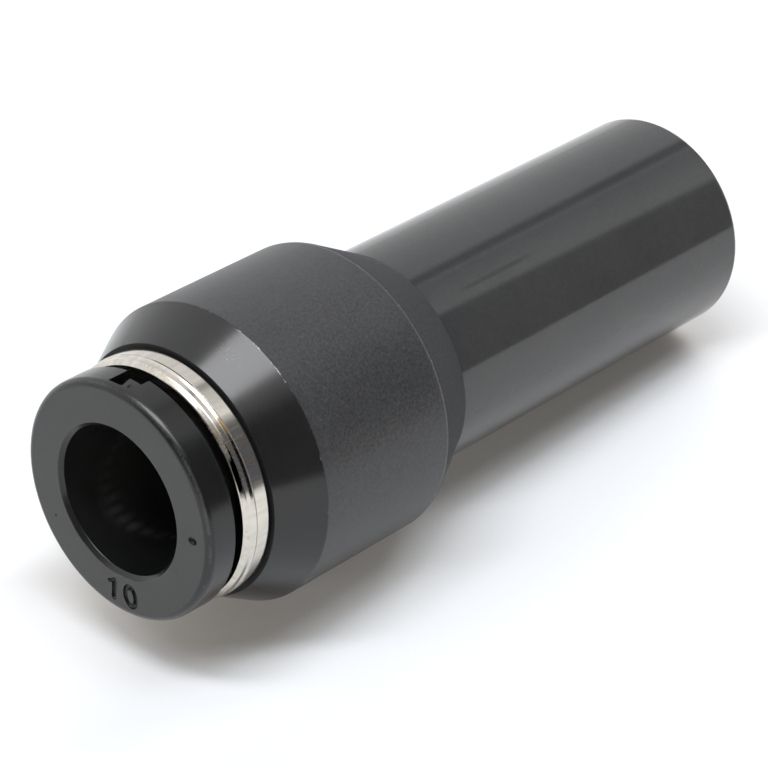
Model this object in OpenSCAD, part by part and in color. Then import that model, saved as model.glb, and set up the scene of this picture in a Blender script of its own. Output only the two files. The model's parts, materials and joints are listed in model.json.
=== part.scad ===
// Push-in reducer fitting: a tube socket with a release ring at the top, on a plain stem that plugs
// into a larger push-in socket. Millimetres. The axis is Z and the stem's end face is at Z = 0.

/* [Stem] */
// Outer diameter of the stem, which is the tube size of the larger socket
stem_d = 16; // [15.6:0.1:16.2]
// Length of the stem from its end face to the taper
stem_len = 30.7; // [26:0.1:36]
// Radius of the stem's rounded end edge
stem_end_round = 0.5; // [0.3:0.05:0.8]
// Diameter of the hole cored up the stem
stem_bore_d = 11; // [9.5:0.1:12]
// Diameter of the flow hole in the web between the stem and the tube seat
flow_d = 7.5; // [6.5:0.1:8.2]
// Thickness of that web
web_t = 3.2; // [2.4:0.1:4]

/* [Body] */
// Diameter of the body's matte cylinder
barrel_d = 21.1; // [20.6:0.1:23]
// Length of the cylinder
barrel_len = 11.6; // [10.5:0.1:14]
// Length of the taper between the stem and the cylinder
taper_len = 4.4; // [3:0.1:6]
// Step from the stem up to the small end of the taper, on the radius
taper_step = 0.2; // [0.1:0.05:0.35]
// Radius of the rounded edge between the taper and the cylinder
taper_edge_round = 0.25; // [0.1:0.05:0.5]
// Length of the cone between the cylinder and the mouth
cone_len = 3.15; // [2.6:0.05:4]
// Width of the flat face round the mouth, on the radius
mouth_face = 0.7; // [0.6:0.05:0.9]

/* [Socket] */
// Outer diameter of the tube that the socket takes
tube_d = 10; // [9.8:0.1:10.2]
// Depth of the tube stop below the body's mouth
stop_depth = 15.15; // [14.6:0.05:16.5]
// Depth of the claws' shoulder below the body's mouth
claw_seat_depth = 4.2; // [4:0.05:4.6]
// Depth of the seal's pocket below the claws' shoulder
pocket_depth = 5.8; // [5.6:0.05:6.2]
// Diameter of the seal's pocket
pocket_d = 14.4; // [14:0.1:14.8]

/* [Guide ring] */
// Diameter of the shank that is pressed into the body, and of the hole for it
shank_d = 16.4; // [16.2:0.1:16.6]
// Step from the shank out to the relief under the head, on the radius
relief_step = 0.15; // [0.1:0.05:0.2]
// Height of the relief, which seats on the body's mouth
relief_h = 0.35; // [0.25:0.05:0.5]
// Step from the relief out to the head's rear band, on the radius
head_step = 0.2; // [0.1:0.05:0.3]
// Height of the head from the relief to the middle of its fine groove
rear_band_h = 0.92; // [0.8:0.01:1.1]
// Height of the head from the middle of the groove to the front face
front_band_h = 1.03; // [0.98:0.01:1.2]
// Depth of the fine groove
band_groove = 0.08; // [0.05:0.01:0.1]
// Step of the sloped shoulder in front of the groove, on the radius
shoulder_step = 0.1; // [0.05:0.01:0.12]
// Height of that shoulder
shoulder_h = 0.18; // [0.12:0.01:0.2]
// Step of the second shoulder, on the radius
nose_step = 0.06; // [0.03:0.01:0.08]
// Height of the second shoulder
nose_h = 0.12; // [0.08:0.01:0.15]
// Radius of the head's rounded front edge
head_round = 0.35; // [0.25:0.05:0.4]
// Thickness of the inner lip that keeps the release ring in
lip_t = 1.25; // [1:0.05:1.4]
// Wall of the shank
shank_wall = 1.2; // [1:0.05:1.25]
// Number of barbs on the shank
barb_count = 3; // [2:1:4]
// Depth that the barbs bite into the body, on the radius
barb_bite = 0.04; // [0.02:0.01:0.06]

/* [Release ring] */
// Diameter of the flange that a finger presses
flange_d = 16.8; // [16.4:0.1:17.4]
// Thickness of the flange
flange_t = 2.3; // [2.1:0.05:2.8]
// Radius of the flange's rounded front edge
flange_round = 0.55; // [0.3:0.05:0.7]
// Wall of the ring's neck
neck_wall = 1; // [0.9:0.05:1.1]
// Gap between the flange and the guide ring at rest
button_gap = 0.75; // [0.6:0.05:0.9]
// Height of the snap collar that catches behind the guide ring's lip
collar_h = 0.95; // [0.8:0.05:1.2]
// Reach of the snap collar beyond the neck, on the radius
collar_reach = 0.35; // [0.3:0.05:0.45]
// Chamfer round the ring's mouth
ring_chamfer = 0.3; // [0.15:0.05:0.4]
// Distance from the middle to the straight side that the notch and its deeper slot share
notch_side = 0.78; // [0.6:0.02:0.9]
// Width of the notch in the flange's rear
notch_w = 1.95; // [1.8:0.05:2.2]
// Depth of the notch along the axis
notch_depth = 0.72; // [0.5:0.02:1]
// Width of the deeper slot in the notch
notch_slot_w = 1.1; // [0.9:0.05:1.3]
// Depth of that slot along the axis
notch_slot_depth = 1.72; // [1.4:0.02:1.8]
// Depth of the notch towards the axis, on the radius
notch_cut = 1.5; // [1:0.1:1.8]

/* [Lock claws] */
// Thickness of the sheet
claw_t = 0.3; // [0.2:0.05:0.35]
// Number of teeth
claw_teeth = 14; // [10:1:18]
// Width of the slots between the teeth
claw_slot_w = 0.8; // [0.6:0.05:1]
// Slope of the teeth below the rim, in degrees
claw_angle = 35; // [30:1:40]
// Width of the flat rim
claw_rim_w = 1.2; // [1.1:0.05:1.3]
// Depth that the tips reach inside the tube's surface, on the radius
claw_bite = 0.2; // [0.1:0.05:0.25]

/* [Elastic sleeve] */
// Height of the sleeve
sleeve_h = 3.7; // [3.4:0.05:3.75]
// Depth that the lip reaches inside the tube's surface, on the radius
lip_bite = 0.15; // [0.05:0.05:0.25]
// Radius of the lip's rounded bead
lip_round = 0.6; // [0.5:0.05:0.7]
// Thickness of the lip's leg
lip_leg = 0.85; // [0.7:0.05:0.95]
// Width of the groove behind the lip
lip_groove = 0.5; // [0.3:0.05:0.6]

/* [Clearances] */
// Gap round the tube in its seat, on the radius
seat_gap = 0.1; // [0.06:0.01:0.15]
// Gap round the tube in the release ring, on the radius
ring_gap = 0.2; // [0.15:0.01:0.3]
// Gap between the ring's neck and the guide ring's lip, on the radius
slide_gap = 0.1; // [0.05:0.01:0.15]
// Gap between the snap collar and the lip at rest, and between the claws and what holds them
play = 0.05; // [0.03:0.01:0.08]
// Gap round the claws' rim and round the sleeve, on the radius
rim_gap = 0.1; // [0.05:0.01:0.15]
// Gap between the release ring's tip and the teeth at rest
tip_gap = 0.1; // [0.05:0.01:0.2]

/* [Hidden] */
$fn = 96;
// Overlap of a cut past the face it starts from
over = 1;

// Radii
stem_r = stem_d / 2;
barrel_r = barrel_d / 2;
tube_r = tube_d / 2;
pocket_r = pocket_d / 2;
shank_r = shank_d / 2;
relief_r = shank_r + relief_step;
head_r = relief_r + head_step;
middle_band_r = head_r - shoulder_step;
nose_r = middle_band_r - nose_step;
mouth_r = shank_r + mouth_face;
ring_bore_r = tube_r + ring_gap;
neck_r = ring_bore_r + neck_wall;
lip_r = neck_r + slide_gap;
collar_r = neck_r + collar_reach;
shank_bore_r = shank_r - shank_wall;
flange_r = flange_d / 2;
claw_rim_r = shank_r - rim_gap;
claw_root_r = claw_rim_r - claw_rim_w;
claw_tip_r = tube_r - claw_bite;
sleeve_r = pocket_r - rim_gap;

// Heights above the stem's end face
barrel_z = stem_len + taper_len;
cone_z = barrel_z + barrel_len;
mouth_z = cone_z + cone_len;
stop_z = mouth_z - stop_depth;
claw_seat_z = mouth_z - claw_seat_depth;
pocket_z = claw_seat_z - pocket_depth;
claw_z = claw_seat_z + play;
shank_end_z = claw_z + claw_t + play;
head_z = mouth_z + relief_h;
front_band_z = head_z + rear_band_h;
guide_front_z = front_band_z + front_band_h;
lip_z = guide_front_z - lip_t;
collar_top_z = lip_z - play;
flange_z = guide_front_z + button_gap;
face_z = flange_z + flange_t;

// Cone of the teeth: the height of its upper side at a radius
function tooth_top(r) = claw_z + claw_t - (claw_root_r - r) * tan(claw_angle);
// The tip's flat end is half of the neck's wall, and stands just above the teeth
tip_flat_r = ring_bore_r + neck_wall / 2;
tip_z = tooth_top(tip_flat_r) + tip_gap;
tip_cone_h = neck_wall;
barb_h = (mouth_z - shank_end_z) / (barb_count + 2);

// Cuts a rounded outer corner into a profile whose corner is at the origin, towards -X and -Y
module corner_round(r) {
  difference() {
    translate([-r, -r]) square(r + over);
    translate([-r, -r]) circle(r);
  }
}

// The mould's outer form, turned about the axis
module body_outline() {
  difference() {
    polygon([
      [0, 0],
      [stem_r, 0],
      [stem_r, stem_len],
      [stem_r + taper_step, stem_len],
      [barrel_r, barrel_z],
      [barrel_r, cone_z],
      [mouth_r, mouth_z],
      [0, mouth_z]
    ]);
    translate([stem_r, 0]) mirror([0, 1]) corner_round(stem_end_round);
  }
}

// One moulding: cone nose, cylinder, taper and stem, with the stepped hole through it
module body() {
  color("dimgray") difference() {
    rotate_extrude() body_outline();
    translate([0, 0, -over]) cylinder(r = stem_bore_d / 2, h = stop_z - web_t + over);
    cylinder(r = flow_d / 2, h = mouth_z);
    translate([0, 0, stop_z]) cylinder(r = tube_r + seat_gap, h = stop_depth + over);
    translate([0, 0, pocket_z]) cylinder(r = pocket_r, h = mouth_z - pocket_z + over);
    translate([0, 0, claw_seat_z]) cylinder(r = shank_r, h = claw_seat_depth + over);
    taper_edge();
  }
}

// Rounds the edge between the taper and the cylinder, tangent to both
module taper_edge() {
  slope = atan2(barrel_r - stem_r - taper_step, taper_len);
  reach = taper_edge_round * tan(slope / 2);
  rotate_extrude() difference() {
    translate([barrel_r - reach * sin(slope), barrel_z - reach * cos(slope)])
      square([reach + over, reach * (1 + cos(slope))]);
    translate([barrel_r - taper_edge_round, barrel_z + reach]) circle(taper_edge_round);
  }
}

// One barb: a wedge that points down the shank, with its edge in the body's wall
module barb(z) {
  translate([0, z]) polygon([
    [shank_r - barb_bite, 0],
    [shank_r + barb_bite, barb_h / 2],
    [shank_r - barb_bite, barb_h / 2]
  ]);
}

// Head of the guide ring, with the inner lip: rear band, groove, two sloped shoulders and a round
module head_outline() {
  shoulder_z = front_band_z + band_groove;
  nose_z = guide_front_z - head_round;
  difference() {
    polygon([
      [shank_bore_r, head_z],
      [head_r, head_z],
      [head_r, shoulder_z],
      [middle_band_r, shoulder_z + shoulder_h],
      [middle_band_r, nose_z - nose_h],
      [nose_r, nose_z],
      [nose_r, guide_front_z],
      [lip_r, guide_front_z],
      [lip_r, lip_z],
      [shank_bore_r, lip_z]
    ]);
    translate([nose_r, guide_front_z]) corner_round(head_round);
    translate([head_r, front_band_z]) circle(band_groove);
  }
}

// Turned ring: barbed shank, relief, head and inner lip
module guide_ring() {
  color("silver") rotate_extrude() {
    head_outline();
    translate([shank_bore_r, mouth_z]) square([relief_r - shank_bore_r, relief_h]);
    translate([shank_bore_r, shank_end_z])
      square([shank_wall - barb_bite, mouth_z - shank_end_z]);
    for (i = [1:barb_count]) barb(shank_end_z + i * barb_h);
    translate([shank_bore_r, mouth_z - barb_h / 2]) square([shank_wall, barb_h / 2]);
  }
}

// Section of the release ring, before its notch
module ring_outline() {
  difference() {
    polygon([
      [ring_bore_r, tip_z],
      [tip_flat_r, tip_z],
      [neck_r, tip_z + tip_cone_h],
      [neck_r, collar_top_z - collar_h - collar_reach],
      [collar_r, collar_top_z - collar_h],
      [collar_r, collar_top_z],
      [neck_r, collar_top_z],
      [neck_r, flange_z],
      [flange_r, flange_z],
      [flange_r, face_z],
      [ring_bore_r + ring_chamfer, face_z],
      [ring_bore_r, face_z - ring_chamfer]
    ]);
    translate([flange_r, face_z]) corner_round(flange_round);
  }
}

// Stepped notch in the flange's rear, towards +X
module notch() {
  translate([flange_r - notch_cut, notch_side - notch_w, flange_z - over])
    cube([notch_cut + over, notch_w, notch_depth + over]);
  translate([flange_r - notch_cut, notch_side - notch_slot_w, flange_z - over])
    cube([notch_cut + over, notch_slot_w, notch_slot_depth + over]);
}

// Moulded ring: flanged button, neck, snap collar and the coned tip that opens the teeth
module release_ring() {
  color("darkslategray") difference() {
    rotate_extrude() ring_outline();
    notch();
  }
}

// Slot between two teeth, with a round root that stops the sheet from tearing
module claw_slot() {
  slot_root_r = claw_root_r - claw_slot_w / 2;
  low_z = tooth_top(claw_tip_r) - over;
  translate([0, -claw_slot_w / 2, low_z])
    cube([slot_root_r, claw_slot_w, claw_z + claw_t + over - low_z]);
  translate([slot_root_r, 0, low_z])
    cylinder(d = claw_slot_w, h = claw_z + claw_t + over - low_z, $fn = 24);
}

// Stamped ring: a flat rim and a cone of sheet, slit into teeth
module lock_claws() {
  tooth_drop = claw_t / cos(claw_angle);
  color("gainsboro") difference() {
    rotate_extrude() polygon([
      [claw_rim_r, claw_z],
      [claw_rim_r, claw_z + claw_t],
      [claw_root_r, claw_z + claw_t],
      [claw_tip_r, tooth_top(claw_tip_r)],
      [claw_tip_r, tooth_top(claw_tip_r) - tooth_drop],
      [claw_root_r + claw_t * tan(claw_angle / 2), claw_z]
    ]);
    for (i = [0:claw_teeth - 1]) rotate([0, 0, i * 360 / claw_teeth]) claw_slot();
  }
}

// Rubber ring with a beaded lip, its groove open to the pressure side
module elastic_sleeve() {
  leg_r = tube_r + seat_gap + play;
  bead_r = tube_r - lip_bite + lip_round;
  color("darkslategray") rotate_extrude() difference() {
    union() {
      translate([leg_r, pocket_z]) square([sleeve_r - leg_r, sleeve_h]);
      translate([bead_r, pocket_z + sleeve_h - lip_leg]) circle(lip_round);
    }
    translate([leg_r + lip_leg, pocket_z - over])
      square([lip_groove, sleeve_h - lip_leg - lip_groove / 2 + over]);
    translate([leg_r + lip_leg + lip_groove / 2, pocket_z + sleeve_h - lip_leg - lip_groove / 2])
      circle(d = lip_groove);
  }
}

body();
guide_ring();
release_ring();
lock_claws();
elastic_sleeve();
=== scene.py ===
import json
from math import cos, degrees, pi, radians, sin, tan

import bmesh
import bpy
from mathutils import Matrix, Vector


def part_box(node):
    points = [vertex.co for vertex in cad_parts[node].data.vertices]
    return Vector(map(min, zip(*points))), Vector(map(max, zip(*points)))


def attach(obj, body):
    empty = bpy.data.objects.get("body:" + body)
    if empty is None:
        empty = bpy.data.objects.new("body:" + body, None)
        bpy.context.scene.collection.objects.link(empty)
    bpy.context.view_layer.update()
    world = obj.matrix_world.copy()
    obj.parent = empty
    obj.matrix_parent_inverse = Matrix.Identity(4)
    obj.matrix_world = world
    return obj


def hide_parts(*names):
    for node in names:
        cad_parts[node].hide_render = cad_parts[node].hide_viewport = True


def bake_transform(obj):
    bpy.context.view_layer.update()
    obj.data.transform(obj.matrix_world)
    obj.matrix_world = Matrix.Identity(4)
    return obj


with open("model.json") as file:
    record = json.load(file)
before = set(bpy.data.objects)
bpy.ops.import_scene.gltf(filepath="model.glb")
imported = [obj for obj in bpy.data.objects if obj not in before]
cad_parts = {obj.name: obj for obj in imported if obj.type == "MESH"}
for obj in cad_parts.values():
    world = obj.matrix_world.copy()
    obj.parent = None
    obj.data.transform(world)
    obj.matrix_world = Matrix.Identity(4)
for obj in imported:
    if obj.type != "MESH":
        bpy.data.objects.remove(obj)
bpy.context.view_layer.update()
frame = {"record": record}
mm = 0.001
bpy.context.scene.view_settings.view_transform = "Standard"
print("frame loaded")

# Places that several pieces share, read from the frame
mounts = {mount["name"]: mount for mount in frame["record"]["mounts"]}
stemR = mounts["stem"]["dims"]["r_mm"] * mm
boreR = mounts["tube_socket"]["dims"]["r_mm"] * mm
barrelR = -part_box("body")[0].x
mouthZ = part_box("body")[1].z
guideLow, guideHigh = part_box("guide_ring")
buttonLow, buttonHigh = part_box("release_ring")
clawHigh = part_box("lock_claws")[1]
sleeveLow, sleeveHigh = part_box("elastic_sleeve")

# The table that the fitting lies on in the photograph leans on its -X side: it touches the stem's
# end and the barrel's rear rim, so it is the studio's floor and its normal is the studio's up
studio = {
    "up": Vector((0.995, -0.070, 0.073)).normalized(),
    "touch": Vector((-0.00798, 0.00056, 0.0)),
    "lens": 150.5,
    "azimuth": 38.9,
    "elevation": 40.36,
    "roll": -118.15,
    "distance": 0.2227,
    "middle": Vector((0, 0, 0.027)),
    "aimRight": -0.00190,
    "aimDown": 0.00259,
}


def deselectAll():
    if bpy.context.mode != "OBJECT":
        bpy.ops.object.mode_set(mode="OBJECT")
    bpy.ops.object.select_all(action="DESELECT")


def makeActive(piece):
    deselectAll()
    piece.select_set(True)
    bpy.context.view_layer.objects.active = piece


# Camera, turned round its line of sight until the standing fitting lies as in the photograph

def addCamera(s):
    turn, lift, roll = radians(s["azimuth"]), radians(s["elevation"]), radians(s["roll"])
    toCamera = Vector((sin(turn) * cos(lift), -cos(turn) * cos(lift), sin(lift)))
    level = (-toCamera).cross(Vector((0, 0, 1))).normalized()
    upright = level.cross(-toCamera)
    right = level * cos(roll) + upright * sin(roll)
    up = upright * cos(roll) - level * sin(roll)
    aim = s["middle"] + right * s["aimRight"] - up * s["aimDown"]
    deselectAll()
    bpy.ops.object.camera_add(location=aim + toCamera * s["distance"])
    camera = bpy.context.object
    camera.name = "studioCamera"
    camera.data.lens = s["lens"]
    camera.data.sensor_width = 36
    camera.data.clip_start, camera.data.clip_end = 0.01, 20
    camera.rotation_mode = "QUATERNION"
    camera.rotation_quaternion = Matrix((right, up, toCamera)).transposed().to_quaternion()
    bpy.context.scene.camera = camera
    return toCamera


toCamera = addCamera(studio)
tableUp = studio["up"]
tableFront = (toCamera - tableUp * toCamera.dot(tableUp)).normalized()
tableRight = tableUp.cross(tableFront)
print("camera placed")


# Shader maths: a Wire is an output socket, and a sum with it adds its Math nodes

class Wire:
    def __init__(self, graph, socket):
        self.graph, self.socket = graph, socket

    def math(self, operation, first, second=0.0):
        return self.graph.add("ShaderNodeMath", {"operation": operation}, {0: first, 1: second})

    def __add__(self, other):
        return self.math("ADD", self, other)

    def __sub__(self, other):
        return self.math("SUBTRACT", self, other)

    def __mul__(self, other):
        return self.math("MULTIPLY", self, other)

    def __pow__(self, other):
        return self.math("POWER", self, other)

    def __rsub__(self, other):
        return self.math("SUBTRACT", other, self)

    __radd__ = __add__
    __rmul__ = __mul__


class Graph:
    def __init__(self, tree):
        self.tree = tree
        tree.nodes.clear()

    # Settings come first, then the sockets' values or links
    def add(self, kind, settings, inputs, out=0):
        node = self.tree.nodes.new(kind)
        for name, value in settings.items():
            setattr(node, name, value)
        for name, value in inputs.items():
            if isinstance(value, Wire):
                self.tree.links.new(value.socket, node.inputs[name])
            else:
                node.inputs[name].default_value = value
        return Wire(self, node.outputs[out])

    def clamp(self, value):
        return self.add("ShaderNodeClamp", {}, {"Value": value})

    # 0 below low, 1 above high, smooth between
    def smooth(self, value, low, high):
        ends = {"Value": value, "From Min": low, "From Max": high}
        return self.add("ShaderNodeMapRange", {"interpolation_type": "SMOOTHSTEP"}, ends)

    # 1 inside low..high, with soft ends of the given width
    def band(self, value, low, high, soft):
        return self.smooth(value, low - soft, low + soft) * (
            1 - self.smooth(value, high - soft, high + soft)
        )

    # From first to second by the share
    def between(self, share, first, second):
        return first + share * (second - first)

    def mix(self, share, first, second):
        return self.add(
            "ShaderNodeMix", {"data_type": "RGBA"}, {0: share, 6: first, 7: second}, out=2
        )

    def greyTone(self, tone):
        return self.add("ShaderNodeCombineColor", {}, {0: tone, 1: tone, 2: tone})

    def tint(self, tone, tinge):
        return self.scaled(self.greyTone(tone), tinge)

    def dot(self, vector, direction):
        return self.add(
            "ShaderNodeVectorMath", {"operation": "DOT_PRODUCT"}, {0: vector, 1: direction}, out=1
        )

    def scaled(self, vector, factors):
        return self.add("ShaderNodeVectorMath", {"operation": "MULTIPLY"}, {0: vector, 1: factors})

    # The scale is in features for each millimetre
    def noise(self, vector, scale, detail, roughness):
        inputs = {"Vector": vector, "Scale": scale, "Detail": detail, "Roughness": roughness}
        return self.add("ShaderNodeTexNoise", {}, inputs)

    # The height is in millimetres
    def bump(self, height):
        return self.add("ShaderNodeBump", {}, {"Height": height, "Distance": mm, "Strength": 1.0})

    def finish(self, kind, shader):
        end = self.tree.nodes.new(kind)
        self.tree.links.new(shader.socket, end.inputs["Surface"])


def newMaterial(name):
    material = bpy.data.materials.new(name)
    material.use_nodes = True
    return material, Graph(material.node_tree)


def grey(value):
    return (value, value, value, 1)


def rgb(red, green, blue):
    return (red, green, blue, 1)


# The studio: a white tent behind and to the left, an open dark side to the right of the camera and
# a seam between two of the tent's sheets. Angles are degrees round the table's normal, 0 towards
# the camera and positive to the right, and degrees above the table
tent = {
    "white": 1.12,
    "whiteColour": rgb(0.985, 0.99, 1.0),
    "dark": 0.12,
    "darkNear": 0.04,
    "darkNearTo": (45, 85),
    "darkFrom": 8,
    "darkTo": 108,
    "darkTop": (42, 62),
    "sideNear": 1.12,
    "sideFar": 0.50,
    "sideTo": 139,
    "sideSoft": 2.0,
    "seam": (141, 151),
    "seamSoft": 4.0,
    "seamLevel": 0.2,
    "backLevel": 0.90,
    "backFrom": (145, 151),
    "backTo": -150,
    "frontLevel": 0.14,
    "frontFrom": -70,
    "frontSoft": 12.0,
    "floorSoft": 2,
    "floorFill": 0.38,
    "fillColour": rgb(1.05, 1.0, 0.94),
}


def studioWorld(s):
    world = bpy.data.worlds.new("studioTent")
    bpy.context.scene.world = world
    world.use_nodes = True
    # Only the rays that meet the tent are lit by it, so that gloss and matte light stay apart
    world.cycles.sampling_method = "NONE"
    g = Graph(world.node_tree)
    direction = g.add("ShaderNodeTexCoord", {}, {}, out=0)
    up, front, right = (g.dot(direction, axis) for axis in (tableUp, tableFront, tableRight))
    height = g.add("ShaderNodeMath", {"operation": "ARCSINE"}, {0: up}) * degrees(1)
    turn = g.add("ShaderNodeMath", {"operation": "ARCTAN2"}, {0: right, 1: front}) * degrees(1)
    low = 1 - g.smooth(height, *s["darkTop"])
    dark = g.band(turn, s["darkFrom"], s["darkTo"], s["sideSoft"]) * low
    side = g.band(turn, s["darkTo"], s["sideTo"], s["sideSoft"]) * low
    seam = g.band(turn, *s["seam"], s["seamSoft"]) * low
    facing = g.band(turn, s["frontFrom"], s["darkFrom"], s["frontSoft"]) * low
    back = (g.smooth(turn, *s["backFrom"]) + 1 - g.smooth(turn, -180, s["backTo"])) * low
    # The side sheet falls off evenly, and the open side is darkest beside the camera
    fall = (s["sideFar"] - s["sideNear"]) / (s["sideTo"] - s["darkTo"])
    sideLevel = s["sideNear"] + (turn - s["darkTo"]) * fall
    darkLevel = g.between(g.smooth(turn, *s["darkNearTo"]), s["darkNear"], s["dark"])
    shades = (
        (facing, s["frontLevel"]),
        (back, s["backLevel"]),
        (side, sideLevel),
        (seam, s["seamLevel"]),
        (dark, darkLevel),
    )
    level = s["white"]
    for share, shade in shades:
        level = level - share * (s["white"] - shade)
    tentLight = g.add("ShaderNodeBackground", {}, {"Color": s["whiteColour"], "Strength": level})
    # Matte surfaces are lit by the lamps and boards, and from below by the floor round the table
    below = (1 - g.smooth(height, -s["floorSoft"], s["floorSoft"])) * s["floorFill"]
    floorLight = g.add("ShaderNodeBackground", {}, {"Color": s["fillColour"], "Strength": below})
    isDiffuse = g.add("ShaderNodeLightPath", {}, {}, out=2)
    unseen = g.add("ShaderNodeMixShader", {}, {0: isDiffuse, 1: tentLight, 2: floorLight})
    white = g.add("ShaderNodeBackground", {}, {"Color": grey(1), "Strength": 1})
    isCamera = g.add("ShaderNodeLightPath", {}, {}, out=0)
    seen = g.add("ShaderNodeMixShader", {}, {0: isCamera, 1: unseen, 2: white})
    g.finish("ShaderNodeOutputWorld", seen)


studioWorld(tent)

# Lamps hang over the table. Their places and sizes are shares of their height. The softbox, a
# little towards the camera, is what glossy surfaces mirror
studioCentre = Vector((0, 0, 0.03))
lampHeight = 0.60
softbox = {"front": 0.185, "right": -0.10, "width": 0.90, "depth": 0.52, "radiance": 6.8}
softboxLight = (0.97, 0.975, 1.0)
# What lights matte surfaces: a cool key with a wing on either side, and warm boards that stand
# round the table, in degrees round it and above it
overhead = {
    "key": {"front": 0.225, "right": -0.15, "width": 0.60, "depth": 0.15, "radiance": 23.7},
    "wingLeft": {"front": 0.30, "right": -0.75, "width": 0.60, "depth": 0.60, "radiance": 3.0},
    "wingRight": {"front": 0.15, "right": 0.375, "width": 0.45, "depth": 0.30, "radiance": 8.2},
    "wingBack": {"front": -0.375, "right": 0.525, "width": 0.45, "depth": 0.15, "radiance": 11.3},
}
coolLight = (0.955, 1.0, 1.06)
boardAway = 0.70
boards = {
    "boardBehind": {"turn": 180, "wide": 60, "low": 1, "high": 40, "radiance": 3.5},
    "boardFront": {"turn": -15, "wide": 90, "low": 1, "high": 20, "radiance": 6.8},
}
warmLight = (1.06, 1.0, 0.93)


def addLamp(name, place, axes, width, depth, radiance, colour, inGloss):
    deselectAll()
    bpy.ops.object.light_add(type="AREA", location=place)
    lamp = bpy.context.object
    lamp.name = name
    lamp.data.shape = "RECTANGLE"
    lamp.data.size = width
    lamp.data.size_y = depth
    lamp.data.energy = radiance * pi * width * depth
    lamp.data.color = colour
    lamp.rotation_mode = "QUATERNION"
    lamp.rotation_quaternion = Matrix(axes).transposed().to_quaternion()
    lamp.visible_camera = False
    lamp.visible_glossy = inGloss
    lamp.visible_diffuse = not inGloss


def addOverhead(name, s, colour, inGloss):
    sideways = tableFront * s["front"] + tableRight * s["right"]
    place = studioCentre + lampHeight * (tableUp + sideways)
    axes = (tableRight, -tableFront, tableUp)
    size = (s["width"] * lampHeight, s["depth"] * lampHeight)
    addLamp(name, place, axes, *size, s["radiance"], colour, inGloss)


def addBoard(name, s):
    turn = radians(s["turn"])
    outwards = tableFront * cos(turn) + tableRight * sin(turn)
    low, high = (tan(radians(s[end])) for end in ("low", "high"))
    place = studioCentre + boardAway * (outwards + tableUp * (low + high) / 2)
    axes = (tableUp.cross(outwards), tableUp, outwards)
    wide = 2 * boardAway * tan(radians(s["wide"] / 2))
    size = (wide, boardAway * (high - low))
    addLamp(name, place, axes, *size, s["radiance"], warmLight, False)


addOverhead("softbox", softbox, softboxLight, True)
for name, lamp in overhead.items():
    addOverhead(name, lamp, coolLight, False)
for name, board in boards.items():
    addBoard(name, board)

# A white sheet that ends to the right of the fitting, whose gloss shows where. Metres from the
# point that the fitting touches
table = {"left": -0.9, "right": 0.095, "back": -0.5, "front": 0.5, "white": 0.82}


def addTable(s):
    deselectAll()
    bpy.ops.mesh.primitive_plane_add(size=1)
    sheet = bpy.context.object
    sheet.name = "table"
    corners = [(right, front) for front in ("back", "front") for right in ("left", "right")]
    for vertex, (right, front) in zip(sheet.data.vertices, corners):
        vertex.co = studio["touch"] + tableRight * s[right] + tableFront * s[front]
    if sheet.data.polygons[0].normal.dot(tableUp) < 0:
        sheet.data.flip_normals()
    material, g = newMaterial("tableWhite")
    paper = g.add("ShaderNodeBsdfDiffuse", {}, {"Color": grey(s["white"])})
    clear = g.add("ShaderNodeBsdfTransparent", {}, {})
    fromBehind = g.add("ShaderNodeNewGeometry", {}, {}, out=6)
    isCamera = g.add("ShaderNodeLightPath", {}, {}, out=0)
    # The camera looks through the sheet from below
    hidden = fromBehind * isCamera
    sides = g.add("ShaderNodeMixShader", {}, {0: hidden, 1: paper, 2: clear})
    g.finish("ShaderNodeOutputMaterial", sides)
    sheet.data.materials.append(material)


addTable(table)
print("studio ready")


# Modelling: a turned piece is one vertex, extruded round its section and spun about the axis.
# The section is a list of (radius, height, width of the rounded corner) in millimetres
def turnPiece(name, section, steps=192):
    deselectAll()
    bpy.ops.mesh.primitive_plane_add(size=mm)
    piece = bpy.context.object
    piece.name = piece.data.name = name
    corners = [Vector((r * mm, 0, z * mm)) for r, z, soft in section]
    bpy.ops.object.mode_set(mode="EDIT")
    bpy.ops.mesh.select_all(action="SELECT")
    bpy.ops.mesh.merge(type="CENTER")
    bpy.ops.transform.translate(value=corners[0])
    for before, after in zip(corners, corners[1:]):
        bpy.ops.mesh.extrude_region_move(TRANSFORM_OT_translate={"value": after - before})
    bpy.ops.mesh.select_all(action="SELECT")
    bm = bmesh.from_edit_mesh(piece.data)
    bm.verts.ensure_lookup_table()
    bpy.ops.mesh.select_all(action="DESELECT")
    bm.verts[0].select = bm.verts[-1].select = True
    bm.select_flush_mode()
    bpy.ops.mesh.edge_face_add()
    # Narrow roundings have two segments and wide ones five
    for corner, (r, z, soft) in zip(corners, section):
        if soft:
            bm = bmesh.from_edit_mesh(piece.data)
            bpy.ops.mesh.select_all(action="DESELECT")
            near = min(bm.verts, key=lambda v: (v.co - corner).length)
            near.select = True
            bm.select_flush_mode()
            rounds = 2 if soft < 0.1 else 5
            bpy.ops.mesh.bevel(offset=soft * mm, segments=rounds, affect="VERTICES")
    bpy.ops.mesh.select_all(action="SELECT")
    bpy.ops.mesh.spin(steps=steps, angle=2 * pi, center=(0, 0, 0), axis=(0, 0, 1))
    bpy.ops.mesh.select_all(action="SELECT")
    bpy.ops.mesh.remove_doubles(threshold=1e-7)
    bpy.ops.mesh.normals_make_consistent(inside=False)
    bpy.ops.object.mode_set(mode="OBJECT")
    return piece


def addBlock(low, high):
    deselectAll()
    bpy.ops.mesh.primitive_cube_add(size=1)
    block = bpy.context.object
    for vertex in block.data.vertices:
        vertex.co = [high[i] * mm if vertex.co[i] > 0 else low[i] * mm for i in range(3)]
    return block


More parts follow.
